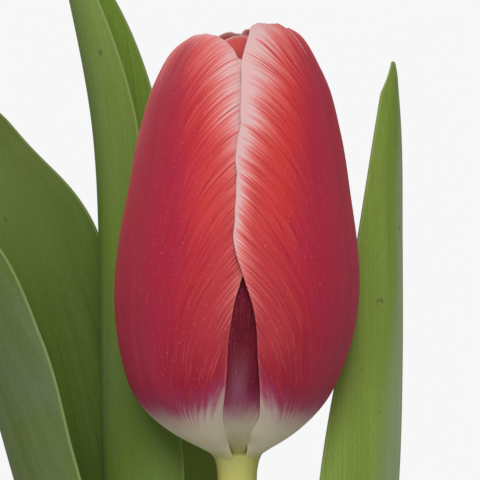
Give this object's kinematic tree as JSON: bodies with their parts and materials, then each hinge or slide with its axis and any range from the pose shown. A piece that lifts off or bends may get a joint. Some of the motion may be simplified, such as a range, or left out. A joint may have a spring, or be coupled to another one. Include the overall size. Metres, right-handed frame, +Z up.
{
  "type": "tulip in a vase",
  "caption": "Cut tulip with a closed red and white bloom, three channelled leaves and a green stem, standing in water in a small round glazed vase.",
  "frame": {"origin": "centre of the vase's flat underside", "axes": "+Z up the vase and the stem, -Y towards the front of the bloom, where the two front petals meet, +X to its right"},
  "size_m": [0.0922, 0.0673, 0.2861],
  "materials": {
    "glaze": "gloss",
    "water": "polished",
    "stem": "satin",
    "leaf": "satin",
    "petal_outer": "satin",
    "petal_inner": "satin",
    "stamen": "matte",
    "pistil": "satin"
  },
  "bodies": {
    "root": {"vase": "glaze", "water": "water", "stem": "stem", "leaf_left": "leaf", "leaf_tall": "leaf", "leaf_right": "leaf", "outer_petal_right": "petal_outer", "outer_petal_left": "petal_outer", "outer_petal_back": "petal_outer", "inner_petal_front": "petal_inner", "inner_petal_back_right": "petal_inner", "inner_petal_back_left": "petal_inner", "stamen_1": "stamen", "stamen_2": "stamen", "stamen_3": "stamen", "stamen_4": "stamen", "stamen_5": "stamen", "stamen_6": "stamen", "pistil": "pistil"}
  },
  "joints": []
}
